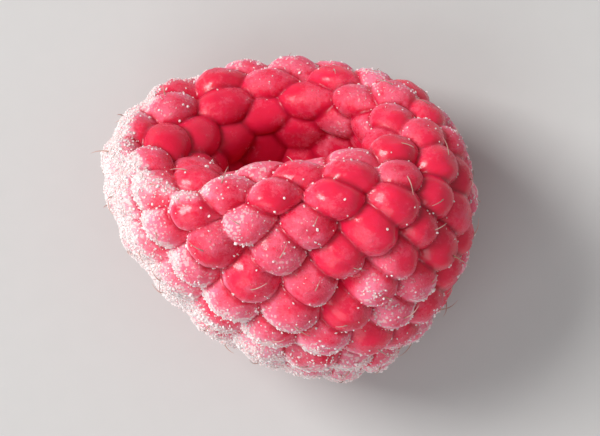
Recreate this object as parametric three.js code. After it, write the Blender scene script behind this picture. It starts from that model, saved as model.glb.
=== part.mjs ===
// A picked red raspberry, lying on its side with the mouth of its hollow tipped up.
// Millimetres, +Z up. The origin is on the surface it lies on, under the middle of its
// bounding box, and +Y is the way that the mouth faces, seen from above.
//
// The fruit is one body: some two hundred rounded cells on a thick-walled cup. The big cells
// outside are the drupelets, and the small ones inside are their ends, which sat on the core
// that stayed on the plant. A meridian gives the cup, a golden-angle spiral gives the middle of
// each cell, and each cell is a dome raised from the cup as far as its neighbours.
import * as THREE from "three";
import { ConvexHull } from "three/addons/math/ConvexHull.js";
import { mergeVertices } from "three/addons/utils/BufferGeometryUtils.js";

// The cup, before it settles under its own weight.
const WALL_REACH = 8.6; // half the length that the middle of the wall would have if it closed
const WALL_RADIUS = 6.9; // of the middle of the wall, about the axis
const EGG = 0.4; // how far the widest place lies towards the mouth: 0 is halfway
const MOUTH_AT = THREE.MathUtils.degToRad(118); // angle from the tip where the wall ends
const WALL_AT_TIP = 5.0;
const WALL_AT_MOUTH = 6.2;
const HOLLOW_FROM = 0.35; // where the hollow begins, as a share of the way over the mouth's edge

// The cells.
const DRUPELET_PITCH = 3.05;
const INNER_PITCH = 2.5;
const DOME_RADIUS = 0.68; // of the pitch
const DRUPELET_HEIGHT = 0.66; // of the pitch
const INNER_HEIGHT = 0.36; // of the pitch
const JITTER = 0.07; // of the pitch
const UNEVENNESS = 0.06; // of a cell's radius and height
const SEED = 7;
const GOLDEN_ANGLE = Math.PI * (3 - Math.sqrt(5));
const CELL_STEPS = 2; // facets from the middle of a cell to its edge
const CELL_ROUNDING = 0.72; // under 1 moves the ring of facets outwards

// How it lies.
const AXIS_RISE = THREE.MathUtils.degToRad(33); // of the axis, towards the mouth
const SETTLED = 0.95; // height after it has settled, as a share
const SPREAD = 1.02; // breadth after it has settled, as a share
const LEAN = 0.09; // of the mouth to one side, as a share of the way along
const SKEW = 0.065; // how much further the mouth's edge reaches on one side than the other
const HOLLOW_ASIDE = 0.6; // how far the hollow lies from the middle
const PRESSED = 0.6; // depth of the flat spot that it lies on
const LIP_SAG = 1.6; // of the upper lip, over the mouth
const LIP_SAG_REACH = 4.0; // one standard deviation of the sag's bell shape

const MERIDIAN_STEPS = 120;
const HEXAGON_AREA = Math.sqrt(3) / 2; // of a cell, as a share of its pitch squared

const FLESH = new THREE.MeshStandardMaterial({
  color: 0xcf4860,
  roughness: 0.42,
  metalness: 0,
});

// A repeatable draw from -1 to 1.
function makeDraw(seed) {
  let state = seed;
  return () => {
    state = (Math.imul(state, 1664525) + 1013904223) >>> 0;
    return (state / 2 ** 32) * 2 - 1;
  };
}

// The middle of the wall at an angle from the tip: s along the axis, r from it, and the unit
// normal that faces away from the hollow.
function wallMiddle(angle) {
  const s = WALL_REACH * (1 - Math.cos(angle));
  const r = WALL_RADIUS * Math.sin(angle) * (1 - EGG * Math.cos(angle));
  const along = WALL_REACH * Math.sin(angle);
  const outwards = WALL_RADIUS * (Math.cos(angle) - EGG * Math.cos(2 * angle));
  const size = Math.hypot(along, outwards);
  return { s, r, ns: -outwards / size, nr: along / size };
}

function halfWall(angle) {
  const share = THREE.MathUtils.smoothstep(angle, 0, MOUTH_AT);
  return THREE.MathUtils.lerp(WALL_AT_TIP, WALL_AT_MOUTH, share) / 2;
}

// The outline of half the cup's section, from the tip over the mouth's edge to the bottom of
// the hollow, where its inner face meets the axis. inside goes from 0 on the outer face to 1
// in the hollow.
function outline() {
  const places = [];
  const faced = (angle, side, inside) => {
    const m = wallMiddle(angle);
    const w = side * halfWall(angle);
    places.push({ s: m.s + m.ns * w, r: m.r + m.nr * w, inside });
  };
  for (let i = 0; i < MERIDIAN_STEPS; i++) {
    faced((MOUTH_AT * i) / MERIDIAN_STEPS, 1, 0);
  }
  const end = wallMiddle(MOUTH_AT);
  const rim = halfWall(MOUTH_AT);
  for (let i = 0; i < MERIDIAN_STEPS; i++) {
    const turn = (Math.PI * i) / MERIDIAN_STEPS;
    const [c, d] = [rim * Math.cos(turn), rim * Math.sin(turn)];
    const inside = THREE.MathUtils.smoothstep(turn, HOLLOW_FROM * Math.PI, Math.PI);
    places.push({ s: end.s + end.ns * c + end.nr * d, r: end.r + end.nr * c - end.ns * d, inside });
  }
  for (let i = 0; i <= MERIDIAN_STEPS; i++) {
    faced(MOUTH_AT * (1 - i / MERIDIAN_STEPS), -1, 1);
  }
  return places.filter((p) => p.r >= 0);
}

// Adds to each place of the outline its normal, the pitch and height of the cells there, how
// many cells lie between it and the tip, and its latitude on a ball that the cup maps to with
// its angles kept.
function meridian() {
  const places = outline();
  const last = places.length - 1;
  let cells = 0;
  let latitude = 0;
  places.forEach((p, i) => {
    const [a, b] = [places[Math.max(i - 1, 0)], places[Math.min(i + 1, last)]];
    const size = Math.hypot(b.s - a.s, b.r - a.r);
    p.ns = -(b.r - a.r) / size;
    p.nr = (b.s - a.s) / size;
    p.pitch = THREE.MathUtils.lerp(DRUPELET_PITCH, INNER_PITCH, p.inside);
    p.height = p.pitch * THREE.MathUtils.lerp(DRUPELET_HEIGHT, INNER_HEIGHT, p.inside);
    if (i > 0) {
      const q = places[i - 1];
      const step = Math.hypot(p.s - q.s, p.r - q.r);
      const radius = (p.r + q.r) / 2;
      cells += (2 * Math.PI * radius * step) / (HEXAGON_AREA * p.pitch ** 2);
      latitude += step / radius;
    }
    p.cells = cells;
    p.latitude = latitude;
  });
  const middle = places[1.5 * MERIDIAN_STEPS].latitude;
  for (const p of places) p.latitude -= middle;
  return places;
}

// The place on the meridian where a key, such as cells, has a value.
function placeAt(places, key, value) {
  let [low, high] = [0, places.length - 1];
  while (high - low > 1) {
    const i = (low + high) >> 1;
    if (places[i][key] <= value) low = i;
    else high = i;
  }
  const [a, b] = [places[low], places[high]];
  const share = THREE.MathUtils.clamp((value - a[key]) / (b[key] - a[key]), 0, 1);
  const found = {};
  for (const k in a) found[k] = THREE.MathUtils.lerp(a[k], b[k], share);
  return found;
}

// A point of the cup, or with a height a point over it. X is across the fruit, Y along its
// axis and Z up, before it is laid down.
function cupPoint(place, around, height = 0) {
  const r = place.r + place.nr * height;
  const x = r * Math.cos(around) + HOLLOW_ASIDE * place.inside;
  const s = place.s + place.ns * height;
  return new THREE.Vector3(x, s * (1 - (SKEW * x) / WALL_RADIUS), r * Math.sin(around));
}

function ballPoint(place, around) {
  const down = 2 * Math.atan(Math.exp(place.latitude));
  const r = Math.sin(down);
  return new THREE.Vector3(r * Math.cos(around), -Math.cos(down), r * Math.sin(around));
}

// The cells' middles, on the cup and on the ball.
function cellMiddles(places) {
  const draw = makeDraw(SEED);
  const count = Math.floor(places.at(-1).cells);
  const middles = [];
  for (let i = 0; i < count; i++) {
    const place = placeAt(places, "cells", i + 0.5);
    const shift = (JITTER * place.pitch) / Math.max(place.r, place.pitch);
    const around = i * GOLDEN_ANGLE + shift * draw();
    const moved = placeAt(places, "latitude", place.latitude + shift * draw());
    const size = 1 + UNEVENNESS * draw();
    middles.push({
      onCup: cupPoint(moved, around),
      onBall: ballPoint(moved, around),
      radius: DOME_RADIUS * moved.pitch * size,
      height: moved.height * size,
    });
  }
  return middles;
}

// Adds the facets of one patch of the ball to positions. The patch is given by its four
// corners, the first of them the middle of its cell.
function addPatch(positions, corners) {
  const at = (i, j) => {
    const [u, v] = [i, j].map((k) => (k / CELL_STEPS) ** CELL_ROUNDING);
    const weights = [(1 - u) * (1 - v), u * (1 - v), u * v, (1 - u) * v];
    const point = new THREE.Vector3();
    corners.forEach((corner, n) => point.addScaledVector(corner, weights[n]));
    return point.normalize().toArray();
  };
  for (let i = 0; i < CELL_STEPS; i++) {
    for (let j = 0; j < CELL_STEPS; j++) {
      const quad = [at(i, j), at(i + 1, j), at(i + 1, j + 1), at(i, j + 1)];
      const cut = (i + j) % 2 === 0 ? [0, 1, 2, 0, 2, 3] : [0, 1, 3, 1, 2, 3];
      for (const k of cut) positions.push(...quad[k]);
    }
  }
}

// A mesh of the ball that follows the cells. Each triangle of neighbouring cells is cut into
// three patches, one for each cell, from its middle to the grooves between it and the others.
function cellMesh(middles) {
  const hull = new ConvexHull().setFromPoints(middles.map((m) => m.onBall));
  const positions = [];
  for (const face of hull.faces) {
    const cells = [face.edge, face.edge.next, face.edge.prev].map((e) => e.head().point);
    const pit = new THREE.Vector3().add(cells[0]).add(cells[1]).add(cells[2]).normalize();
    const between = cells.map((p, n) => p.clone().add(cells[(n + 1) % 3]).normalize());
    cells.forEach((middle, n) => {
      addPatch(positions, [middle, between[n], pit, between[(n + 2) % 3]]);
    });
  }
  const ball = new THREE.BufferGeometry();
  ball.setAttribute("position", new THREE.Float32BufferAttribute(positions, 3));
  return mergeVertices(ball);
}

// How far the tallest dome at a point of the cup stands over it, less a cell's full height
// there, so that the domes' tops lie on the cup and the grooves lie under it.
function domeHeight(point, middles, full) {
  let best = 0;
  for (const m of middles) {
    const share = point.distanceToSquared(m.onCup) / m.radius ** 2;
    if (share < 1) best = Math.max(best, m.height * Math.sqrt(1 - share));
  }
  return best - full;
}

// Takes the ball's vertices to the cup and raises the domes there.
function raiseCells(geometry, places, middles) {
  const position = geometry.getAttribute("position");
  const direction = new THREE.Vector3();
  for (let i = 0; i < position.count; i++) {
    direction.fromBufferAttribute(position, i);
    const around = Math.atan2(direction.z, direction.x);
    const down = Math.acos(THREE.MathUtils.clamp(-direction.y, -1, 1));
    const latitude = Math.log(Math.tan(Math.max(down, 1e-6) / 2));
    const place = placeAt(places, "latitude", latitude);
    const height = domeHeight(cupPoint(place, around), middles, place.height);
    position.setXYZ(i, ...cupPoint(place, around, height).toArray());
  }
}

// Tips the fruit on to its side, lets its height and its upper lip settle, and presses its
// underside flat on the surface.
function lay(geometry) {
  const settle = new THREE.Matrix4().makeScale(SPREAD, 1, SETTLED);
  settle.multiply(new THREE.Matrix4().makeRotationX(AXIS_RISE));
  const end = wallMiddle(MOUTH_AT);
  const lip = new THREE.Vector3(0, end.s, end.r).applyMatrix4(settle);
  const position = geometry.getAttribute("position");
  const point = new THREE.Vector3();
  for (let i = 0; i < position.count; i++) {
    point.fromBufferAttribute(position, i).applyMatrix4(settle);
    const sag = LIP_SAG * Math.exp(-point.distanceToSquared(lip) / (2 * LIP_SAG_REACH ** 2));
    position.setXYZ(i, point.x - LEAN * point.y, point.y + sag, point.z - sag);
  }
  geometry.computeBoundingBox();
  const { min, max } = geometry.boundingBox;
  geometry.translate(-(min.x + max.x) / 2, -(min.y + max.y) / 2, -min.z - PRESSED);
  for (let i = 0; i < position.count; i++) {
    position.setZ(i, Math.max(position.getZ(i), 0));
  }
}

function makeRaspberry() {
  const places = meridian();
  const middles = cellMiddles(places);
  const geometry = cellMesh(middles);
  raiseCells(geometry, places, middles);
  lay(geometry);
  geometry.computeVertexNormals();
  const mesh = new THREE.Mesh(geometry, FLESH);
  mesh.name = "raspberry";
  return mesh;
}

const raspberry = new THREE.Group();
raspberry.add(makeRaspberry());

export default raspberry;
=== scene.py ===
"""A picked and frozen red raspberry, lying on its side.

The skin is one closed surface. A meridian gives a thick-walled cup, a golden-angle spiral gives
the middle of each drupelet on it, and a patch mesh that follows the drupelets is raised into
domes. The dried styles and the ice grains stand on that surface, and the frost is a coat in its
material, thickest on the flank that the skin's "rime" attribute marks.
"""

import math

import bpy
import numpy as np
from bpy.props import FloatProperty, FloatVectorProperty, IntProperty, PointerProperty
from bpy.types import Operator, Panel, PropertyGroup
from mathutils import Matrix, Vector


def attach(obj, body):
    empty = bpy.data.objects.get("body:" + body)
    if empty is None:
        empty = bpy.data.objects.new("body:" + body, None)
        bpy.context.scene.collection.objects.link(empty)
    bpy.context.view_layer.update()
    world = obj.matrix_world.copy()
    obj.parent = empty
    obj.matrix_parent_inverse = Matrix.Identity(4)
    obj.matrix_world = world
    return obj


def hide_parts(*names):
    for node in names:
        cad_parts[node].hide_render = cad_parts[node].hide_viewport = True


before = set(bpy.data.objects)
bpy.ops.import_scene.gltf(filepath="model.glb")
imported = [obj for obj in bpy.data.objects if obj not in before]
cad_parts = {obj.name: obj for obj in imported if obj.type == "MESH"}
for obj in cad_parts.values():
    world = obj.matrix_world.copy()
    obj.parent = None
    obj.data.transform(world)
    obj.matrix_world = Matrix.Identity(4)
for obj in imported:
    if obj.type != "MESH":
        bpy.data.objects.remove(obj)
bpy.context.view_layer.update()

bl_info = {
    "name": "Raspberry",
    "version": (1, 0, 0),
    "blender": (4, 5, 0),
    "location": "View3D > Sidebar > Raspberry",
    "description": "Builds a frosted raspberry with its drupelets, styles and ice grains",
    "category": "Add Mesh",
}

MM = 0.001
BODY = "root"
NODE = "raspberry"

# The cup, in millimetres, before it settles: the solid's own values.
WALL_REACH = 8.6  # half the length that the middle of the wall would have if it closed
WALL_RADIUS = 6.9  # of the middle of the wall, about the axis
EGG = 0.4  # how far the widest place lies towards the mouth: 0 is halfway
MOUTH_AT = math.radians(118)  # angle from the tip where the wall ends
WALL_AT_TIP = 5.0
WALL_AT_MOUTH = 6.2
HOLLOW_FROM = 0.35  # where the hollow begins, as a share of the way over the mouth's edge
MERIDIAN_STEPS = 120

# The cells of the cup: the drupelets outside and their ends inside.
DRUPELET_PITCH = 3.05
INNER_PITCH = 2.5
DOME_RADIUS = 0.68  # of the pitch
DRUPELET_HEIGHT = 0.66  # of the pitch
INNER_HEIGHT = 0.36  # of the pitch
JITTER = 0.07  # of the pitch
UNEVENNESS = 0.06  # of a cell's radius and height
SEED = 7
GOLDEN_ANGLE = math.pi * (3 - math.sqrt(5))
HEXAGON_AREA = math.sqrt(3) / 2  # of a cell, as a share of its pitch squared
CELL_ROUNDING = 0.72  # under 1 moves the rings of facets outwards
SOLID_STEPS = 2  # facets from the middle of a cell to its edge in the solid
NEAR = 18  # how many near cells are tried as a cell's neighbours
POINTS_AT_ONCE = 8000  # so that their distances to all cells fit in memory
PROBE = 0.1  # mm over the cup, to find which way it faces

# How it lies.
AXIS_RISE = math.radians(33)  # of the axis, towards the mouth
SETTLED = 0.95  # height after it has settled, as a share
SPREAD = 1.02  # breadth after it has settled, as a share
LEAN = 0.09  # of the mouth to one side, as a share of the way along
SKEW = 0.065  # how much further the mouth's edge reaches on one side than the other
HOLLOW_ASIDE = 0.6  # how far the hollow lies from the middle
PRESSED = 0.6  # depth of the flat spot that it lies on
LIP_SAG = 1.6  # of the upper lip, over the mouth
LIP_SAG_REACH = 4.0  # one standard deviation of the sag's bell shape

# The skin's small relief, which the solid lacks. Waves are in radians per millimetre.
DIMPLE_REACH = 0.14  # of a dome's radius
DENT_WAVES = ((2.3, 0, 1.1), (0.7, 2.1, 0), (0, -0.9, 2.5))
FINER_DENT_WAVES = ((5.9, -2.0, 0), (0, 6.3, 1.7), (2.6, 0, 5.3))
FINER_DENTS = 0.45  # their depth, as a share of the broad dents'
CRUST_LEVEL = -0.75  # mm, where the rime begins to fill the grooves
CRUST_SOFTNESS = 0.12  # mm, how gently it meets the domes
CREASE_HEIGHT = 0.5  # mm between two domes, where the groove's shade has faded

# Which way the camera's right and up point on the table.
CAMERA_ROLL = math.radians(15)
VIEW_RIGHT = np.array((math.cos(CAMERA_ROLL), -math.sin(CAMERA_ROLL), 0))
VIEW_UP = np.array((math.sin(CAMERA_ROLL), math.cos(CAMERA_ROLL), 0))

# Where the frost lies, as a thin cover of up to 1 and as thick rime. The flank that faced the
# cold spans a fan of directions on the table, counted anticlockwise from the camera's right.
# Pairs are where something begins and where it is full. Patches are x, y and radius in
# millimetres, and what they add to the cover.
FLANK_FROM = math.radians(145)
FLANK_TO = math.radians(320)
FLANK_SPREAD = 2.2  # how fast the flank fades past the ends of the fan
FLANK_FADES = 0.5  # how much less the end of the fan counts than its beginning
RIME_FACING = (0.34, 0.68)  # how far the skin faces the fan
RIME_ASIDE = (2.0, 6.0)  # mm from the middle towards the fan
RIME_UPWARDS = (-0.55, 0.15)  # how far the skin faces up
RIME_BASE = 0.6  # its share that lies whichever way a dome's own skin faces
DOME_RIME = 0.5  # its share on the side of a dome that faces the fan
DOME_FROST = 0.12  # what that side has all over the fruit
DOME_FACING = (0.2, 0.9)  # how far a dome's own skin faces the fan
COVER = 0.37  # on a usual drupelet
COVER_DIFFERS = 0.33  # how much more or less it is at most on one of them
SHELTER = 0.8  # the share of it that the hollow lacks
SIDE_FROST = 0.35  # what skin that faces sideways has over the rest
SIDEWAYS = (0.8, 1)  # how far that skin faces sideways
NOT_UNDER = (-0.5, 0)  # how far that skin faces up
UPPER = (-0.1, 0.4)  # how far the skin faces up where patches lie
PATCH_FALL = 1.5  # standard deviations in a patch's radius
FROST_AND_PAINTED_LIGHT_PATCHES = (
    (5.9, -0.2, 3.4, -0.42),
    (7.4, -4.1, 2.4, -0.35),
    (-3.7, 7.0, 2.6, -0.3),
    (2.9, -5.1, 1.3, 0.95),
    (-0.5, -4.7, 1.6, -0.2),
    (-1.9, 2.9, 1.6, 0.2),
    (2.1, 3.3, 1.4, 0.2),
    (0.0, -1.0, 1.5, 0.25),
    (7.0, 5.5, 2.6, 0.35),
    (-4.3, -3.0, 2.2, -0.2),
    # This patch is partly frost and partly painted light on the lit right wall of the hollow.
    (2.9, 4.3, 2.2, 0.35),
)

# The ice grains. Their chances are for each square millimetre of skin, and only their ratios
# count.
CLUMP_WAVES = ((3.1, 0.8, 0), (0, 2.7, -1.3), (1.1, 0, 2.9))
FINER_CLUMP_WAVES = ((7.7, 0, -3.0), (2.1, 8.3, 0), (0, 2.2, 7.1))
FINER_CLUMPS = 0.6  # their strength, as a share of the broad ones'
CLUMPED = (-0.25, 0.8)  # the ripples' sum where a clump begins and is full
BARE_CHANCE = 0.05
COVER_CHANCE = 1.6
RIME_CHANCE = 6
STRAY_CHANCE = 0.04  # between the clumps
GRAIN_SHELTER = 0.97  # the share of the grains that the hollow lacks
GRAINS_FROM = 0.7  # mm over the table
GRAIN_SIDES = 6
GRAIN_SPREAD = (-0.05, 0.28)  # mean and standard deviation of the size's logarithm
GRAIN_STRETCH = (0.55, 0.75)  # the least, and how much more at most
GRAIN_LIFT = 0.12  # of its size, from the skin to its middle

# The dried styles.
STYLE_RINGS = 7
STYLE_SIDES = 5
OUTER_CELLS = 0.3  # how far over the mouth's edge a drupelet still carries one
STYLES_KEPT = 0.72  # the share that hasn't broken off
STYLES_FROM = 1.6  # mm over the table
STYLE_LENGTHS = (0.6, 0.5)  # of the usual length: the least, and how much more at most
STYLE_TILT = (0.75, 0.3)  # radians from the skin's normal at the root, likewise
STYLE_DROOP = 0.9  # radians of further tilt at the end
STYLE_ROOT = 0.2  # mm that lies under the skin
STYLE_TAPER = 0.75  # of its width, lost by the end

# How fine the patterns in the materials are, as repeats in a metre.
PATCH_SCALE = 560.0
SKIN_SPECKS = 4200.0
STYLE_SPECKS = 6000.0
MOTTLE_SCALE = 900.0
CRUST_SCALE = 1500.0
PORE_SCALE = 6500.0
CLOUD_SCALE = 2600.0  # in the ice
TABLE_SCALE = 700.0

# How the frost looks in the materials. A speck's sizes are shares of their spacing.
PATCHINESS = 2.8  # how far its patches differ, in cover
POWDERINESS = 1.1  # how far its powder differs, in cover
SPECK_BEND = 0.25 * MM  # how far noise moves a speck at most
SPECK_GROWTH = 0.55  # its radius under a cover of 1, before the loss
SPECK_LOSS = 0.02
SPECK_EDGE = 0.16
WIDEST_SPECK = 0.72
COVER_KEPT = (1.0, 0.05)  # on a drupelet's top and in a groove
RIME_KEPT = (1.15, 0.85)  # likewise
FROST_TOTAL = (0.2, 1.3)  # cover and rime together, from thin frost to thick
HAZE_STRENGTH = (0.35, 0.9)  # in thin frost and in thick
SPECK_STRENGTH = (0.3, 0.95)  # likewise
RIME_WHITENS = 0.45  # how far full rime turns the haze white
THIN_CRUST = 0.72  # strength of the specks where the crust is thin
BUMP_DEPTH = 0.1 * MM
STYLE_COVER = 0.4
STYLE_FADES = 0.3  # how far a style's end goes towards the frost's colour

# The stage. A light's place is a share of LIGHTS_AWAY to the camera's left, up in its picture
# and towards it. Then come its size in metres, its power and its colour.
LENS = 200.0  # mm
VIEW_WIDTH = 35.5 * MM  # across the picture, at the fruit's middle
MIDDLE_HEIGHT = 8.5 * MM
LIGHTS_AWAY = 0.8
LIGHTS = (
    ("key", (0.64, 0.32, 0.7), 0.34, 6.9, (1.0, 0.985, 0.97)),
    ("fill", (0.4, -0.6, 0.7), 0.6, 2.3, (0.97, 0.98, 1.0)),
)
ROOM_LIGHT = 0.36
TABLE_HALF = 1.5  # m
TABLE_MOTTLE = 0.97  # its darker colour, as a share of the other


# ---- settings ----


class RaspberrySizes(PropertyGroup):
    """Sizes of what the solid leaves to this script."""

    skin_steps: IntProperty(
        name="Skin Steps",
        description="Facets from the middle of a drupelet to its edge",
        default=8,
        min=2,
        max=9,
    )
    dimple_depth: FloatProperty(
        name="Dimple Depth",
        description="Depth of the scar at the top of a drupelet",
        default=0.12 * MM,
        unit="LENGTH",
    )
    dent_depth: FloatProperty(
        name="Dent Depth",
        description="How far freezing has dented the drupelets",
        default=0.07 * MM,
        unit="LENGTH",
    )
    crust_depth: FloatProperty(
        name="Crust Depth",
        description="How far the rime fills the grooves on the flank that faced the cold",
        default=0.4 * MM,
        unit="LENGTH",
    )
    style_length: FloatProperty(
        name="Style Length",
        description="Length of a dried style",
        default=1.5 * MM,
        unit="LENGTH",
    )
    style_width: FloatProperty(
        name="Style Width",
        description="Width of a dried style at its root",
        default=0.09 * MM,
        unit="LENGTH",
    )
    grain_size: FloatProperty(
        name="Grain Size",
        description="Length of a usual ice grain",
        default=0.135 * MM,
        unit="LENGTH",
    )
    grain_count: IntProperty(
        name="Grain Count",
        description="How many ice grains lie on the skin",
        default=11000,
        min=0,
    )


class RaspberryColours(PropertyGroup):
    """Colours of the fruit, the frost and the table."""

    skin: FloatVectorProperty(
        name="Skin",
        description="Colour of a drupelet's top where the frost is thin",
        default=(0.8, 0.015, 0.07),
        size=3,
        subtype="COLOR",
        min=0,
        max=1,
    )
    # Deepest red: the riper drupelets' own colour, and painted shade in the grooves and the
    # hollow.
    juice_and_shade: FloatVectorProperty(
        name="Juice and Shade",
        description="Colour deep in the grooves and in the hollow",
        default=(0.45, 0.003, 0.025),
        size=3,
        subtype="COLOR",
        min=0,
        max=1,
    )
    haze: FloatVectorProperty(
        name="Haze",
        description="Colour of the skin where thin frost clouds it",
        default=(0.97, 0.3, 0.44),
        size=3,
        subtype="COLOR",
        min=0,
        max=1,
    )
    frost: FloatVectorProperty(
        name="Frost",
        description="Colour of the frost where it is thick",
        default=(0.9, 0.69, 0.68),
        size=3,
        subtype="COLOR",
        min=0,
        max=1,
    )
    ice: FloatVectorProperty(
        name="Ice",
        description="Colour of the whitest ice grains",
        default=(0.94, 0.84, 0.84),
        size=3,
        subtype="COLOR",
        min=0,
        max=1,
    )
    style: FloatVectorProperty(
        name="Style",
        description="Colour of a dried style",
        default=(0.32, 0.11, 0.05),
        size=3,
        subtype="COLOR",
        min=0,
        max=1,
    )
    table: FloatVectorProperty(
        name="Table",
        description="Colour of the surface that the fruit lies on",
        default=(0.53, 0.525, 0.52),
        size=3,
        subtype="COLOR",
        min=0,
        max=1,
    )


# ---- the skin's shape ----


def mix(a, b, share):
    """a where the share is 0 and b where it is 1, in proportion between them."""
    return a + (b - a) * share


def smoothstep(x, low, high):
    """0 up to low and 1 from high, along 3 t squared less 2 t cubed between them."""
    t = np.clip((x - low) / (high - low), 0, 1)
    return t * t * (3 - 2 * t)


def unit(vectors):
    """Vectors divided by their lengths."""
    return vectors / np.linalg.norm(vectors, axis=-1, keepdims=True)


def varied(draw, least, more):
    """Values from the least up to that much more, by draws from 0 to 1."""
    return least + more * draw


def ripple(points, waves):
    """The product of three sines of the place, each along its own wave."""
    return np.sin(points @ np.transpose(waves)).prod(axis=1)


def flank_facing(normals):
    """How far normals face the flank: their length on the table times the cosine of a multiple
    of their angle from the fan, less an amount that grows along the fan as a square root."""
    across, up = normals @ VIEW_RIGHT, normals @ VIEW_UP
    turn = np.arctan2(up, across) % (2 * math.pi)
    nearest = np.clip(turn, FLANK_FROM, FLANK_TO)
    past = np.minimum(FLANK_SPREAD * np.abs(turn - nearest), math.pi)
    fades = FLANK_FADES * np.sqrt((nearest - FLANK_FROM) / (FLANK_TO - FLANK_FROM))
    return np.hypot(across, up) * np.cos(past) - fades


def wall_middle(angle):
    """The middle of the wall at an angle a from the tip, as s along the axis and r from it,
    and the normal that faces away from the hollow.

    s = reach * (1 - cos a) and r = radius * sin a * (1 - egg * cos a)."""
    s = WALL_REACH * (1 - np.cos(angle))
    r = WALL_RADIUS * np.sin(angle) * (1 - EGG * np.cos(angle))
    along = WALL_REACH * np.sin(angle)
    outwards = WALL_RADIUS * (np.cos(angle) - EGG * np.cos(2 * angle))
    size = np.hypot(along, outwards)
    return s, r, -outwards / size, along / size


def half_wall(angle):
    """Half the wall's thickness, which goes from the tip's to the mouth's by a smooth step."""
    return mix(WALL_AT_TIP, WALL_AT_MOUTH, smoothstep(angle, 0, MOUTH_AT)) / 2


def outline():
    """Half of the cup's section, from the tip over the mouth's edge to the bottom of the hollow:
    the wall's middle plus half a wall along its normal, a half circle, and the middle less half
    a wall. Gives s, r and inside, which goes from 0 on the outer face to 1 in the hollow."""
    share = np.arange(MERIDIAN_STEPS) / MERIDIAN_STEPS
    parts = []
    for angle, side in ((MOUTH_AT * share, 1), (MOUTH_AT * np.append(1 - share, 0), -1)):
        s, r, ns, nr = wall_middle(angle)
        w = side * half_wall(angle)
        parts.append((s + ns * w, r + nr * w, np.full(len(angle), (1 - side) / 2)))
    s, r, ns, nr = wall_middle(MOUTH_AT)
    turn = math.pi * share
    c, d = half_wall(MOUTH_AT) * np.stack((np.cos(turn), np.sin(turn)))
    inside = smoothstep(turn, HOLLOW_FROM * math.pi, math.pi)
    edge = (s + ns * c + nr * d, r + nr * c - ns * d, inside)
    places = np.hstack((parts[0], edge, parts[1]))
    return places[:, places[1] >= 0]  # the inner face ends where it meets the axis


def meridian():
    """The outline with its normals, the pitch and height of the cells on it, how many cells lie
    between each place and the tip, and its latitude on a ball that the cup maps to with its
    angles kept: the running sum of each step over its radius."""
    s, r, inside = outline()
    ds, dr = (np.append(v[1:], v[-1]) - np.insert(v[:-1], 0, v[0]) for v in (s, r))
    size = np.hypot(ds, dr)
    pitch = mix(DRUPELET_PITCH, INNER_PITCH, inside)
    height = pitch * mix(DRUPELET_HEIGHT, INNER_HEIGHT, inside)
    step = np.hypot(np.diff(s), np.diff(r))
    radius = (r[1:] + r[:-1]) / 2
    cells = np.cumsum(2 * math.pi * radius * step / (HEXAGON_AREA * pitch[1:] ** 2))
    latitude = np.insert(np.cumsum(step / radius), 0, 0)
    return {
        "s": s,
        "r": r,
        "inside": inside,
        "ns": -dr / size,
        "nr": ds / size,
        "pitch": pitch,
        "height": height,
        "cells": np.insert(cells, 0, 0),
        "latitude": latitude - latitude[3 * MERIDIAN_STEPS // 2],
    }


def place_at(places, key, value):
    """The places on the meridian where a key, such as cells, has these values."""
    return {k: np.interp(value, places[key], v) for k, v in places.items()}


def cup_point(place, around, height=0):
    """Points of the cup, or with a height, points over it. The place's r turned round the axis,
    moved aside in the hollow, with s a little further on one side than on the other."""
    r = place["r"] + place["nr"] * height
    s = place["s"] + place["ns"] * height
    x = r * np.cos(around) + HOLLOW_ASIDE * place["inside"]
    return np.stack((x, s * (1 - SKEW * x / WALL_RADIUS), r * np.sin(around)), axis=-1)


def ball_point(place, around):
    """Points of the unit ball. Their angle from the pole at the tip is twice the arc tangent of
    e to the power of the place's latitude."""
    down = 2 * np.arctan(np.exp(place["latitude"]))
    r = np.sin(down)
    return np.stack((r * np.cos(around), -np.cos(down), r * np.sin(around)), axis=-1)


def draws(count, seed):
    """Repeatable values from -1 to 1. Each state is 1664525 times the last one, plus
    1013904223, modulo 2 to the 32."""
    states = []
    state = seed
    for _ in range(count):
        state = (state * 1664525 + 1013904223) % 2**32
        states.append(state)
    return np.array(states) / 2**31 - 1


def find_cells(places):
    """The cells' middles, on the cup and on the ball. Cell i lies where i + 1/2 cells have
    passed and i golden angles round the axis, moved by a little jitter."""
    index = np.arange(int(places["cells"][-1]))
    turn, climb, growth = draws(3 * len(index), SEED).reshape(-1, 3).T
    place = place_at(places, "cells", index + 0.5)
    shift = JITTER * place["pitch"] / np.maximum(place["r"], place["pitch"])
    around = index * GOLDEN_ANGLE + shift * turn
    place = place_at(places, "latitude", place["latitude"] + shift * climb)
    size = 1 + UNEVENNESS * growth
    ripeness, frost = draws(2 * len(index), SEED + 1).reshape(2, -1)
    return {
        "cup": cup_point(place, around),
        "ball": ball_point(place, around),
        "radius": DOME_RADIUS * place["pitch"] * size,
        "height": place["height"] * size,
        "inside": place["inside"],
        "ripeness": ripeness / 2 + 0.5,
        "frost": frost,
    }


def neighbours(points):
    """Triangles of neighbouring points on a ball, facing out: those of near points that have
    every other point on the inner side of their plane."""
    near = np.argsort(-points @ points.T, axis=1)[:, 1 : NEAR + 1]
    first, second = np.triu_indices(NEAR, 1)
    corners = np.stack((near[:, first], near[:, second]), axis=-1).reshape(-1, 2)
    corners = np.column_stack((np.repeat(np.arange(len(points)), len(first)), corners))
    corners = np.unique(np.sort(corners, axis=1), axis=0)
    a, b, c = points[corners.T]
    normal = unit(np.cross(b - a, c - a))
    height = normal @ points.T - np.einsum("ij,ij->i", normal, a)[:, None]
    height[np.arange(len(corners))[:, None], corners] = 0
    outwards = height.max(axis=1) <= 0
    inwards = height.min(axis=1) >= 0
    return np.vstack((corners[outwards], corners[inwards][:, ::-1]))


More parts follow.
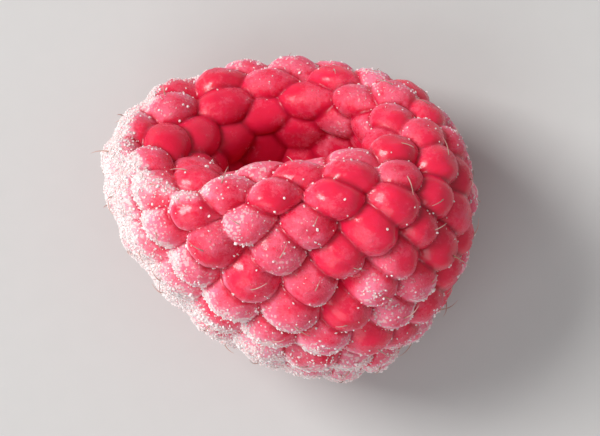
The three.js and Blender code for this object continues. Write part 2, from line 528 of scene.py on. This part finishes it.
def patch_mesh(points, steps):
    """A mesh of the ball that follows the cells, as vertices and quads. Each triangle of cells is
    cut into three patches, one for each cell: (1 - u)(1 - v) times the cell's middle, plus
    u (1 - v) and (1 - u) v times the points halfway to its neighbours, plus u v times the
    triangle's middle, all pushed out to the ball, for u and v in equal steps to a power."""
    middles = points[neighbours(points)]
    pit = np.broadcast_to(unit(middles.sum(axis=1, keepdims=True)), middles.shape)
    following = unit(middles + np.roll(middles, -1, axis=1))
    patches = np.stack((middles, following, pit, np.roll(following, 1, axis=1)), axis=2)
    k = (np.arange(steps + 1) / steps) ** CELL_ROUNDING
    u, v = np.meshgrid(k, k, indexing="ij")
    weights = np.stack(((1 - u) * (1 - v), u * (1 - v), u * v, (1 - u) * v), axis=-1)
    grid = unit(np.einsum("ijk,tnkc->tnijc", weights, patches))
    index = np.arange(grid.size // 3).reshape(-1, steps + 1, steps + 1)
    quads = (index[:, :-1, :-1], index[:, 1:, :-1], index[:, 1:, 1:], index[:, :-1, 1:])
    quads = np.stack(quads, axis=-1).reshape(-1, 4)
    points = grid.reshape(-1, 3)
    _, kept, where = np.unique(
        np.round(points, 6), axis=0, return_index=True, return_inverse=True
    )
    return points[kept], where.reshape(-1)[quads]


def domes(points, cells):
    """How far the tallest dome at each point stands up, height * sqrt(1 - (distance / radius)
    squared), with the cell that it belongs to, the distance to that cell's middle as a share of
    its radius, and how much lower the next dome is."""
    tops, owners, shares, gaps = [], [], [], []
    for some in np.array_split(points, max(1, len(points) // POINTS_AT_ONCE)):
        away = some[:, None, :] - cells["cup"][None, :, :]
        share = np.sqrt((away**2).sum(axis=2)) / cells["radius"]
        stands = cells["height"] * np.sqrt(np.maximum(1 - share**2, 0))
        owner = stands.argmax(axis=1)
        row = np.arange(len(some))
        top = stands[row, owner]
        stands[row, owner] = -1
        tops.append(top)
        owners.append(owner)
        shares.append(share[row, owner])
        gaps.append(top - np.maximum(stands.max(axis=1), 0))
    return tuple(np.concatenate(v) for v in (tops, owners, shares, gaps))


def dents(points, depth):
    """A soft unevenness of the drupelets: a broad ripple and a finer, shallower one."""
    return depth * (ripple(points, DENT_WAVES) + FINER_DENTS * ripple(points, FINER_DENT_WAVES))


def settle(points):
    """Turns the fruit on to its side about X by the rise of its axis, spreads and flattens it,
    leans it, and lowers its upper lip by a bell-shaped sag."""
    c, s = math.cos(AXIS_RISE), math.sin(AXIS_RISE)
    turn = np.array(((SPREAD, 0, 0), (0, c, -s), (0, SETTLED * s, SETTLED * c)))
    end_s, end_r, _, _ = wall_middle(MOUTH_AT)
    lip = turn @ np.array((0, end_s, end_r))
    laid = points @ turn.T
    away = ((laid - lip) ** 2).sum(axis=1)
    sag = LIP_SAG * np.exp(-away / (2 * LIP_SAG_REACH**2))
    x, y, z = laid.T
    return np.stack((x - LEAN * y, y + sag, z - sag), axis=1)


def raise_skin(ball, places, cells, dimple=0, dent=0, crust=0):
    """Takes points of the ball to the skin, in millimetres and before the fruit is set down. The
    domes' tops lie on the cup, each with a bell-shaped dimple, and the grooves lie under it. On
    the flank a crust of rime fills them: the height becomes the soft maximum of itself and the
    crust's level, height + softness * log(1 + exp((level - height) / softness)). Gives the points
    and what their material needs to know of them."""
    around = np.arctan2(ball[:, 2], ball[:, 0])
    down = np.arccos(np.clip(-ball[:, 1], -1, 1))
    place = place_at(places, "latitude", np.log(np.tan(np.maximum(down, 1e-6) / 2)))
    flat = cup_point(place, around)
    outer = 1 - place["inside"]

    # Which way the cup faces once it has settled, from points a little over it.
    out = unit(settle(cup_point(place, around, PROBE)) - settle(flat))
    aside = settle(flat) - settle(flat).mean(axis=0)
    rime = smoothstep(flank_facing(out), *RIME_FACING) * outer
    rime = rime * smoothstep(flank_facing(aside), *RIME_ASIDE)
    rime = rime * smoothstep(out[:, 2], *RIME_UPWARDS)

    top, owner, share, gap = domes(flat, cells)
    top = top - place["height"] - dimple * outer * np.exp(-((share / DIMPLE_REACH) ** 2))
    top = top + outer * dents(flat, dent)
    under = (CRUST_LEVEL + crust * rime - top) / CRUST_SOFTNESS
    top = top + rime * CRUST_SOFTNESS * np.log1p(np.exp(under))
    facts = {
        "inside": place["inside"],
        "crease": 1 - smoothstep(gap, 0, CREASE_HEIGHT),
        "apex": 1 - np.clip(share, 0, 1),
        "owner": owner,
        "out": out,
        "rime": rime,
    }
    return settle(cup_point(place, around, top)), facts


def set_down(places, cells):
    """How far the fruit moves to stand over the origin, with its underside pressed in: taken
    from the solid's own coarse facets, so that the fine skin lies where the solid does."""
    ball, _ = patch_mesh(cells["ball"], SOLID_STEPS)
    points, _ = raise_skin(ball, places, cells)
    low, high = points.min(axis=0), points.max(axis=0)
    return np.array((-(low[0] + high[0]) / 2, -(low[1] + high[1]) / 2, -low[2] - PRESSED))


def skin_surface(sizes):
    """The whole skin: vertices in millimetres, quads, and the facts of each vertex."""
    places = meridian()
    cells = find_cells(places)
    ball, quads = patch_mesh(cells["ball"], sizes.skin_steps)
    points, facts = raise_skin(
        ball, places, cells, sizes.dimple_depth / MM, sizes.dent_depth / MM, sizes.crust_depth / MM
    )
    points = points + set_down(places, cells)
    points[:, 2] = np.maximum(points[:, 2], 0)
    return points, quads, facts, cells


def face_normals(points, quads):
    """Unit normals and areas of quads, from the cross product of their diagonals."""
    a, b, c, d = (points[corner] for corner in quads.T)
    across = np.cross(c - a, d - b)
    size = np.linalg.norm(across, axis=1)
    return across / np.maximum(size, 1e-12)[:, None], size / 2


def point_normals(points, quads):
    """Each vertex's normal: the sum of its faces' normals times their areas."""
    normal, area = face_normals(points, quads)
    total = np.zeros_like(points)
    for corner in quads.T:
        np.add.at(total, corner, normal * area[:, None])
    return unit(total)


# ---- where the frost lies ----


def frost_cover(points, facts, normals, cell_draws):
    """How thick the frost's cover and the rime lie, from 0 to 1 each. The cover is more on some
    drupelets than on others and little in the hollow, plus a share where the skin faces sideways
    and bell-shaped patches on the upper side, one of which is partly painted light on the hollow's
    lit right wall. The rime is the flank's, times a base plus how far the dome's own skin faces
    the fan, plus a little wherever that skin does."""
    outer = 1 - facts["inside"]
    cover = COVER + COVER_DIFFERS * cell_draws[facts["owner"]]
    cover = cover * (1 - SHELTER * facts["inside"])
    sideways = smoothstep(np.hypot(normals[:, 0], normals[:, 1]), *SIDEWAYS)
    cover = cover + SIDE_FROST * sideways * outer * smoothstep(normals[:, 2], *NOT_UNDER)
    upper = smoothstep(facts["out"][:, 2], *UPPER)
    for x, y, radius, amount in FROST_AND_PAINTED_LIGHT_PATCHES:
        away = (points[:, 0] - x) ** 2 + (points[:, 1] - y) ** 2
        cover = cover + upper * amount * np.exp(-away / (2 * (radius / PATCH_FALL) ** 2))
    facing = smoothstep(flank_facing(normals), *DOME_FACING) * outer
    rime = facts["rime"] * (RIME_BASE + DOME_RIME * facing) + DOME_FROST * facing
    return np.clip(cover, 0, 1), np.clip(rime, 0, 1)


def clumps(points):
    """Where grains gather, from 0 to 1: the smooth step of a broad and a finer ripple."""
    waves = ripple(points, CLUMP_WAVES) + FINER_CLUMPS * ripple(points, FINER_CLUMP_WAVES)
    return smoothstep(waves, *CLUMPED)


# ---- meshes ----


def new_piece(name, points, faces, material, smooth=True):
    """A mesh object of points in millimetres at the origin, riding on the fruit's body."""
    mesh = bpy.data.meshes.new(name)
    mesh.from_pydata((points * MM).tolist(), [], faces)
    mesh.validate()
    mesh.polygons.foreach_set("use_smooth", np.full(len(mesh.polygons), smooth))
    mesh.materials.append(material)
    mesh.update()
    piece = bpy.data.objects.new(name, mesh)
    bpy.context.scene.collection.objects.link(piece)
    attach(piece, BODY)
    return piece


def add_attribute(piece, name, values):
    """Gives each vertex a value that the piece's material reads by this name."""
    layer = piece.data.attributes.new(name, "FLOAT", "POINT")
    layer.data.foreach_set("value", np.asarray(values, dtype=np.float32))


def rotations(quaternions):
    """Rotation matrices of unit quaternions (w, x, y, z)."""
    w, x, y, z = quaternions.T
    rows = (
        (1 - 2 * (y * y + z * z), 2 * (x * y - z * w), 2 * (x * z + y * w)),
        (2 * (x * y + z * w), 1 - 2 * (x * x + z * z), 2 * (y * z - x * w)),
        (2 * (x * z - y * w), 2 * (y * z + x * w), 1 - 2 * (x * x + y * y)),
    )
    return np.moveaxis(np.array(rows), 2, 0)


def ice_grains(sizes):
    """Ice grains on the skin, as vertices and faces: hexagonal double pyramids, each stretched
    and turned by its own draws and sunk partly into the skin. Each lies at a random point of a
    quad: (1 - u)(1 - v), u (1 - v), u v and (1 - u) v of its corners. The chance per area is
    (BARE_CHANCE + COVER_CHANCE cover^2) (STRAY_CHANCE + clumps) + RIME_CHANCE rime^2, nearly
    none of it in the hollow and none close to the table."""
    points, quads, facts, cells = skin_surface(sizes)
    cover, rime = frost_cover(points, facts, point_normals(points, quads), cells["frost"])
    chance = (BARE_CHANCE + COVER_CHANCE * cover**2) * (STRAY_CHANCE + clumps(points))
    chance = (chance + RIME_CHANCE * rime**2) * (1 - GRAIN_SHELTER * facts["inside"])
    chance = chance * (points[:, 2] > GRAINS_FROM)
    normal, area = face_normals(points, quads)
    passed = np.cumsum(area * chance[quads].mean(axis=1))
    count = sizes.grain_count
    rng = np.random.default_rng(SEED)
    chosen = np.searchsorted(passed, rng.random(count) * passed[-1])
    u, v = rng.random((2, count, 1))
    a, b, c, d = (points[corner] for corner in quads[chosen].T)
    place = (1 - u) * (1 - v) * a + u * (1 - v) * b + u * v * c + (1 - u) * v * d
    size = sizes.grain_size / MM * np.exp(rng.normal(*GRAIN_SPREAD, (count, 1, 1)))
    stretch = varied(rng.random((count, 1, 3)), *GRAIN_STRETCH)
    spin = rotations(unit(rng.normal(size=(count, 4))))

    index = np.arange(GRAIN_SIDES)
    turn = index * 2 * math.pi / GRAIN_SIDES
    ring = np.stack((np.cos(turn), np.sin(turn), 0 * turn), axis=1)
    shape = np.vstack((ring, (0, 0, 1), (0, 0, -1))) / 2
    following = (index + 1) % GRAIN_SIDES
    above = np.stack((index, following, np.full(GRAIN_SIDES, GRAIN_SIDES)), axis=1)
    below = np.stack((following, index, np.full(GRAIN_SIDES, GRAIN_SIDES + 1)), axis=1)
    grain = np.einsum("nij,nkj->nki", spin, shape[None] * stretch * size)
    middle = place + normal[chosen] * size[:, 0] * GRAIN_LIFT
    vertices = (middle[:, None, :] + grain).reshape(-1, 3)
    faces = np.vstack((above, below)) + np.arange(count)[:, None, None] * len(shape)
    return vertices, faces.reshape(-1, 3).tolist()


def styles(sizes):
    """The dried styles, one on the top of each drupelet that has kept its own: a tube along a
    path whose tilt from the skin's normal grows steadily, so that it lies over, with a radius
    that shrinks steadily. Gives vertices, faces and the share of the way along."""
    points, quads, facts, cells = skin_surface(sizes)
    normals = point_normals(points, quads)
    roots = []
    for cell in np.flatnonzero(cells["inside"] < OUTER_CELLS):
        own = np.flatnonzero(facts["owner"] == cell)
        roots.append(own[facts["apex"][own].argmax()])
    roots = np.array(roots)
    rng = np.random.default_rng(SEED + 1)
    kept = (rng.random(len(roots)) < STYLES_KEPT) & (points[roots, 2] > STYLES_FROM)
    roots = roots[kept]
    count = len(roots)
    normal = normals[roots]
    side = unit(np.cross(normal, rng.normal(size=normal.shape)))
    length = sizes.style_length / MM * varied(rng.random((count, 1)), *STYLE_LENGTHS)
    along = np.linspace(0, 1, STYLE_RINGS)
    tilt = varied(rng.random((count, 1)), *STYLE_TILT) + STYLE_DROOP * along
    step = length / (STYLE_RINGS - 1)
    out = np.cumsum(step * np.cos(tilt), axis=1) - STYLE_ROOT
    over = np.cumsum(step * np.sin(tilt), axis=1)
    path = out[..., None] * normal[:, None] + over[..., None] * side[:, None]
    path = path + points[roots][:, None]

    # The ring at each place of the path lies across the way that the path runs there.
    ahead = unit(np.gradient(path, axis=1))
    first = np.cross(normal, side)[:, None]
    second = np.cross(ahead, first)[..., None, :]
    turn = np.arange(STYLE_SIDES)[:, None] * 2 * math.pi / STYLE_SIDES
    ring = np.cos(turn) * first[..., None, :] + np.sin(turn) * second
    radius = sizes.style_width / MM / 2 * (1 - STYLE_TAPER * along)
    tube = path[..., None, :] + radius[:, None, None] * ring

    index = np.arange(STYLE_RINGS * STYLE_SIDES).reshape(STYLE_RINGS, STYLE_SIDES)
    beside = np.roll(index, -1, axis=1)
    sides = np.stack((index[:-1], beside[:-1], beside[1:], index[1:]), axis=-1).reshape(-1, 4)
    ends = np.stack((index[0][::-1], index[-1]))
    offsets = np.arange(count)[:, None, None] * index.size
    faces = (sides + offsets).reshape(-1, 4).tolist()
    caps = (ends + offsets).reshape(-1, STYLE_SIDES).tolist()
    shares = np.broadcast_to(along[:, None], (count, STYLE_RINGS, STYLE_SIDES))
    return tube.reshape(-1, 3), faces + caps, shares.reshape(-1)


# ---- materials ----


def feed(tree, node, inputs):
    """Sets a node's sockets, by name or number: a socket is linked to them, and anything else is
    their value."""
    for name, value in dict(inputs).items():
        if isinstance(value, bpy.types.NodeSocket):
            tree.links.new(value, node.inputs[name])
        else:
            node.inputs[name].default_value = value


def add_node(tree, kind, inputs=(), **settings):
    """Adds a node with its own settings and feeds it its inputs."""
    node = tree.nodes.new(kind)
    for name, value in settings.items():
        setattr(node, name, value)
    feed(tree, node, inputs)
    return node


def add_math(tree, operation, *values):
    return add_node(tree, "ShaderNodeMath", enumerate(values), operation=operation).outputs[0]


def add_line(tree, value, at_0, at_1):
    """A value's straight run from at_0 where it is 0 to at_1 where it is 1."""
    return add_math(tree, "MULTIPLY_ADD", value, at_1 - at_0, at_0)


def add_ramp(tree, value, low, high, to_low=0.0, to_high=1.0):
    """A value's smooth step from to_low at low up to to_high at high."""
    inputs = enumerate((value, low, high, to_low, to_high))
    kind = "ShaderNodeMapRange"
    return add_node(tree, kind, inputs, interpolation_type="SMOOTHSTEP").outputs[0]


def add_mix(tree, share, a, b):
    """A colour that is a where the share is 0 or less and b where it is 1 or more."""
    inputs = {0: share, 6: a, 7: b}
    return add_node(tree, "ShaderNodeMix", inputs, data_type="RGBA").outputs[2]


def add_noise(tree, place, scale, detail=2.0, roughness=0.5):
    inputs = {"Vector": place, "Scale": scale, "Detail": detail, "Roughness": roughness}
    return add_node(tree, "ShaderNodeTexNoise", inputs).outputs[0]


def attribute(tree, name):
    return add_node(tree, "ShaderNodeAttribute", attribute_name=name).outputs["Fac"]


def add_unevenness(tree, value, noise, amount):
    """A value plus an amount times a noise less a half, so that it stays the same on average."""
    return add_math(tree, "ADD", value, add_math(tree, "MULTIPLY_ADD", noise, amount, -amount / 2))


def with_alpha(colour):
    return (*colour, 1.0)


def frost_group():
    """Frost as a haze, sharp specks of ice and a height. Cover is how thick it lies, and Grain
    how many specks there are in a metre. Patches of noise add to the cover and take from it.
    The haze is that cover with powdery noise, and the specks are the middles of Voronoi cells,
    bent by noise and wider where there is more cover, but never so wide that they all meet."""
    if "Frost" in bpy.data.node_groups:
        return bpy.data.node_groups["Frost"]
    group = bpy.data.node_groups.new("Frost", "ShaderNodeTree")
    for name, kind, way in (
        ("Place", "NodeSocketVector", "INPUT"),
        ("Cover", "NodeSocketFloat", "INPUT"),
        ("Grain", "NodeSocketFloat", "INPUT"),
        ("Haze", "NodeSocketFloat", "OUTPUT"),
        ("Specks", "NodeSocketFloat", "OUTPUT"),
        ("Height", "NodeSocketFloat", "OUTPUT"),
    ):
        group.interface.new_socket(name=name, in_out=way, socket_type=kind)
    place, cover, grain = group.nodes.new("NodeGroupInput").outputs[:3]
    patches = add_noise(group, place, PATCH_SCALE, 4.0, 0.65)
    powder = add_noise(group, place, grain, 5.0, 0.7)
    here = add_unevenness(group, cover, patches, PATCHINESS)
    haze = add_ramp(group, add_unevenness(group, here, powder, POWDERINESS), 0.0, 1.0)

    noise = add_node(group, "ShaderNodeTexNoise", {"Vector": place, "Scale": grain}).outputs[1]
    bent = {0: noise, 1: (SPECK_BEND,) * 3, 2: place}
    bent = add_node(group, "ShaderNodeVectorMath", bent, operation="MULTIPLY_ADD").outputs[0]
    away = add_node(group, "ShaderNodeTexVoronoi", {"Vector": bent, "Scale": grain})
    reach = add_math(group, "MULTIPLY_ADD", here, SPECK_GROWTH, -SPECK_LOSS)
    reach = add_math(group, "MINIMUM", reach, WIDEST_SPECK)
    specks = add_math(group, "SUBTRACT", reach, away.outputs["Distance"])
    specks = add_ramp(group, specks, 0.0, SPECK_EDGE)
    height = add_math(group, "MULTIPLY_ADD", powder, haze, specks)
    feed(group, group.nodes.new("NodeGroupOutput"), enumerate((haze, specks, height)))
    return group


def add_frost(tree, place, cover, grain):
    """The frost group's haze, specks and height."""
    inputs = {"Place": place, "Cover": cover, "Grain": grain}
    return add_node(tree, "ShaderNodeGroup", inputs, node_tree=frost_group()).outputs


def new_material(name):
    """A material with only a Principled shader in it, its tree, and the Object coordinates."""
    material = bpy.data.materials.new(name)
    material.use_nodes = True
    tree = material.node_tree
    shader = tree.nodes["Principled BSDF"]
    place = tree.nodes.new("ShaderNodeTexCoord").outputs["Object"]
    return material, tree, shader, place


def skin_material(colours):
    """Ripe skin over juicy flesh, each drupelet a little riper or paler, with frost over it.
    Painted shade darkens the grooves and the hollow, which leaves the drupelets' tops lighter. The
    haze clouds the skin's colour and roughens it where it would be glossy, and the specks whiten
    it."""
    material, tree, shader, place = new_material("frosted skin")
    names = ("crease", "inside", "ripeness", "cover", "rime")
    crease, inside, ripeness, cover, rime = (attribute(tree, name) for name in names)
    mottle = add_noise(tree, place, MOTTLE_SCALE, 3.0)

    # How deep the red is: each value times its weight, from a start under 0. Ripeness and mottle
    # are the fruit's own tone; inside and crease add painted shade in the hollow and the grooves.
    depth = -0.4
    for value, weight in ((inside, 0.2), (crease, 0.6), (ripeness, 0.4), (mottle, 0.6)):
        depth = add_math(tree, "MULTIPLY_ADD", value, weight, depth)
    skin = add_mix(tree, depth, with_alpha(colours.skin), with_alpha(colours.juice_and_shade))

    # The grooves stay nearly bare under the cover, and have less of the rime.
    rime = add_math(tree, "MULTIPLY", rime, add_line(tree, crease, *RIME_KEPT))
    total = add_math(tree, "MULTIPLY_ADD", cover, add_line(tree, crease, *COVER_KEPT), rime)
    haze, specks, height = add_frost(tree, place, total, SKIN_SPECKS)
    strength = add_ramp(tree, total, *FROST_TOTAL, *HAZE_STRENGTH)
    haze = add_math(tree, "MULTIPLY", haze, strength)
    veil = add_ramp(tree, rime, 0.0, 1.0, 0.0, RIME_WHITENS)
    veil = add_mix(tree, veil, with_alpha(colours.haze), with_alpha(colours.frost))
    clouded = add_mix(tree, haze, skin, veil)
    strength = add_ramp(tree, total, *FROST_TOTAL, *SPECK_STRENGTH)
    crust = add_ramp(tree, add_noise(tree, place, CRUST_SCALE, 4.0, 0.65), 0.35, 0.6, THIN_CRUST)
    icy = add_math(tree, "MULTIPLY", add_math(tree, "MULTIPLY", specks, strength), crust)
    colour = add_mix(tree, icy, clouded, with_alpha(colours.frost))

    pores = add_noise(tree, place, PORE_SCALE)
    height = add_math(tree, "MULTIPLY_ADD", pores, 0.25, height)
    bump = {"Height": height, "Distance": BUMP_DEPTH, "Strength": 0.7}
    bump = add_node(tree, "ShaderNodeBump", bump)
    dull = add_math(tree, "ADD", haze, inside)
    inputs = {
        "Base Color": colour,
        "Roughness": add_ramp(tree, haze, 0.0, 0.5, 0.26, 0.65),
        "Normal": bump.outputs["Normal"],
        "Coat Weight": add_ramp(tree, dull, 0.0, 0.35, 0.4, 0.0),
        "Coat Roughness": 0.16,
        "Subsurface Weight": 0.65,
        "Subsurface Radius": (1.0, 0.2, 0.18),
        "Subsurface Scale": 1.0 * MM,
        "Sheen Weight": 0.08,
        "Sheen Roughness": 0.3,
        "Sheen Tint": (1.0, 0.42, 0.48, 1.0),
        "Specular IOR Level": 0.25,
    }
    feed(tree, shader, inputs)
    return material


def style_material(colours):
    """Dry plant fibre, paler towards its end, with a little frost on it."""
    material, tree, shader, place = new_material("dried style")
    pale = mix(np.array(colours.style), np.array(colours.frost), STYLE_FADES)
    base = add_mix(tree, attribute(tree, "along"), with_alpha(colours.style), with_alpha(pale))
    haze, _, _ = add_frost(tree, place, STYLE_COVER, STYLE_SPECKS)
    cloud = add_math(tree, "MULTIPLY", haze, 0.4)
    inputs = {
        "Base Color": add_mix(tree, cloud, base, with_alpha(colours.frost)),
        "Roughness": add_ramp(tree, haze, 0.0, 1.0, 0.5, 0.8),
        "Sheen Weight": 0.3,
    }
    feed(tree, shader, inputs)
    return material


def ice_material(colours):
    """White ice, a little pink where the fruit shines through the thin of it."""
    material, tree, shader, place = new_material("rime")
    cloudy = add_ramp(tree, add_noise(tree, place, CLOUD_SCALE), 0.3, 0.7)
    inputs = {
        "Base Color": add_mix(tree, cloudy, with_alpha(colours.frost), with_alpha(colours.ice)),
        "Roughness": add_line(tree, cloudy, 0.25, 0.5),
        "Subsurface Weight": 0.4,
        "Subsurface Radius": (1.0, 0.7, 0.7),
        "Subsurface Scale": 0.4 * MM,
    }
    feed(tree, shader, inputs)
    return material


def table_material(colours):
    """A plain surface, very slightly mottled."""
    material, tree, shader, place = new_material("table")
    darker = TABLE_MOTTLE * np.array(colours.table)
    mottle = add_noise(tree, place, TABLE_SCALE, 3.0)
    inputs = {
        "Base Color": add_mix(tree, mottle, with_alpha(colours.table), with_alpha(darker)),
        "Roughness": 0.7,
        "Specular IOR Level": 0.2,
    }
    feed(tree, shader, inputs)
    return material


# ---- operators ----


class RASPBERRY_OT_skin(Operator):
    """Builds the drupelets and the hollow as one closed skin"""

    bl_idname = "raspberry.skin"
    bl_label = "Skin"

    def execute(self, context):
        sizes, colours = context.scene.raspberry_sizes, context.scene.raspberry_colours
        points, quads, facts, cells = skin_surface(sizes)
        if len(points) != len(quads) + 2:
            raise RuntimeError("the skin isn't one closed surface")
        piece = new_piece("skin", points, quads.tolist(), skin_material(colours))
        cover, rime = frost_cover(points, facts, point_normals(points, quads), cells["frost"])
        add_attribute(piece, "crease", facts["crease"])
        add_attribute(piece, "inside", facts["inside"])
        add_attribute(piece, "ripeness", cells["ripeness"][facts["owner"]])
        add_attribute(piece, "cover", cover)
        add_attribute(piece, "rime", rime)
        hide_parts(NODE)
        return {"FINISHED"}


class RASPBERRY_OT_styles(Operator):
    """Builds the dried styles that stand on the drupelets"""

    bl_idname = "raspberry.styles"
    bl_label = "Styles"

    def execute(self, context):
        sizes, colours = context.scene.raspberry_sizes, context.scene.raspberry_colours
        points, faces, along = styles(sizes)
        piece = new_piece("styles", points, faces, style_material(colours))
        add_attribute(piece, "along", along)
        return {"FINISHED"}


class RASPBERRY_OT_ice(Operator):
    """Builds the ice grains that lie on the skin"""

    bl_idname = "raspberry.ice"
    bl_label = "Ice Grains"

    def execute(self, context):
        sizes, colours = context.scene.raspberry_sizes, context.scene.raspberry_colours
        points, faces = ice_grains(sizes)
        new_piece("ice_grains", points, faces, ice_material(colours), smooth=False)
        return {"FINISHED"}


def add_light(name, place, size, power, colour):
    """A square soft light that shines on the fruit."""
    data = bpy.data.lights.new(name, "AREA")
    data.size = size
    data.energy = power
    data.color = colour
    light = bpy.data.objects.new(name, data)
    light.location = place
    aim = Vector((0, 0, MIDDLE_HEIGHT)) - light.location
    light.rotation_euler = aim.to_track_quat("-Z", "Y").to_euler()
    bpy.context.scene.collection.objects.link(light)


class RASPBERRY_OT_stage(Operator):
    """Sets the table, the soft lights and the camera"""

    bl_idname = "raspberry.stage"
    bl_label = "Table, Lights and Camera"

    def execute(self, context):
        corners = TABLE_HALF * np.array(((-1, -1, 0), (1, -1, 0), (1, 1, 0), (-1, 1, 0)))
        mesh = bpy.data.meshes.new("table")
        mesh.from_pydata(corners.tolist(), [], [(0, 1, 2, 3)])
        mesh.materials.append(table_material(context.scene.raspberry_colours))
        table = bpy.data.objects.new("table", mesh)
        context.scene.collection.objects.link(table)

        axes = np.array((-VIEW_RIGHT, VIEW_UP, (0, 0, 1)))
        for name, way, size, power, colour in LIGHTS:
            add_light(name, LIGHTS_AWAY * np.array(way) @ axes, size, power, colour)
        world = bpy.data.worlds.new("studio")
        world.use_nodes = True
        background = world.node_tree.nodes["Background"]
        feed(world.node_tree, background, {"Color": (1.0,) * 4, "Strength": ROOM_LIGHT})
        context.scene.world = world
        context.scene.view_settings.view_transform = "Standard"

        data = bpy.data.cameras.new("camera")
        data.lens = LENS
        data.clip_start = 0.01
        data.clip_end = 10
        camera = bpy.data.objects.new("camera", data)
        away = VIEW_WIDTH / data.sensor_width * LENS
        camera.location = (0, 0, MIDDLE_HEIGHT + away)
        camera.rotation_euler = (0, 0, -CAMERA_ROLL)
        context.scene.collection.objects.link(camera)
        context.scene.camera = camera
        return {"FINISHED"}


class RASPBERRY_PT_panel(Panel):
    """Lists the raspberry's pieces and settings"""

    bl_label = "Raspberry"
    bl_idname = "RASPBERRY_PT_panel"
    bl_space_type = "VIEW_3D"
    bl_region_type = "UI"
    bl_category = "Raspberry"

    def draw(self, context):
        for operator in OPERATORS:
            self.layout.operator(operator.bl_idname)
        for settings in (context.scene.raspberry_sizes, context.scene.raspberry_colours):
            box = self.layout.box()
            for name in settings.__annotations__:
                box.prop(settings, name)


OPERATORS = (RASPBERRY_OT_skin, RASPBERRY_OT_styles, RASPBERRY_OT_ice, RASPBERRY_OT_stage)
CLASSES = (RaspberrySizes, RaspberryColours, *OPERATORS, RASPBERRY_PT_panel)


def register():
    for cls in CLASSES:
        bpy.utils.register_class(cls)
    bpy.types.Scene.raspberry_sizes = PointerProperty(type=RaspberrySizes)
    bpy.types.Scene.raspberry_colours = PointerProperty(type=RaspberryColours)


def unregister():
    del bpy.types.Scene.raspberry_colours
    del bpy.types.Scene.raspberry_sizes
    for cls in reversed(CLASSES):
        bpy.utils.unregister_class(cls)


def main():
    register()
    bpy.ops.raspberry.skin()
    bpy.ops.raspberry.styles()
    bpy.ops.raspberry.ice()
    bpy.ops.raspberry.stage()


if __name__ == "__main__":
    main()
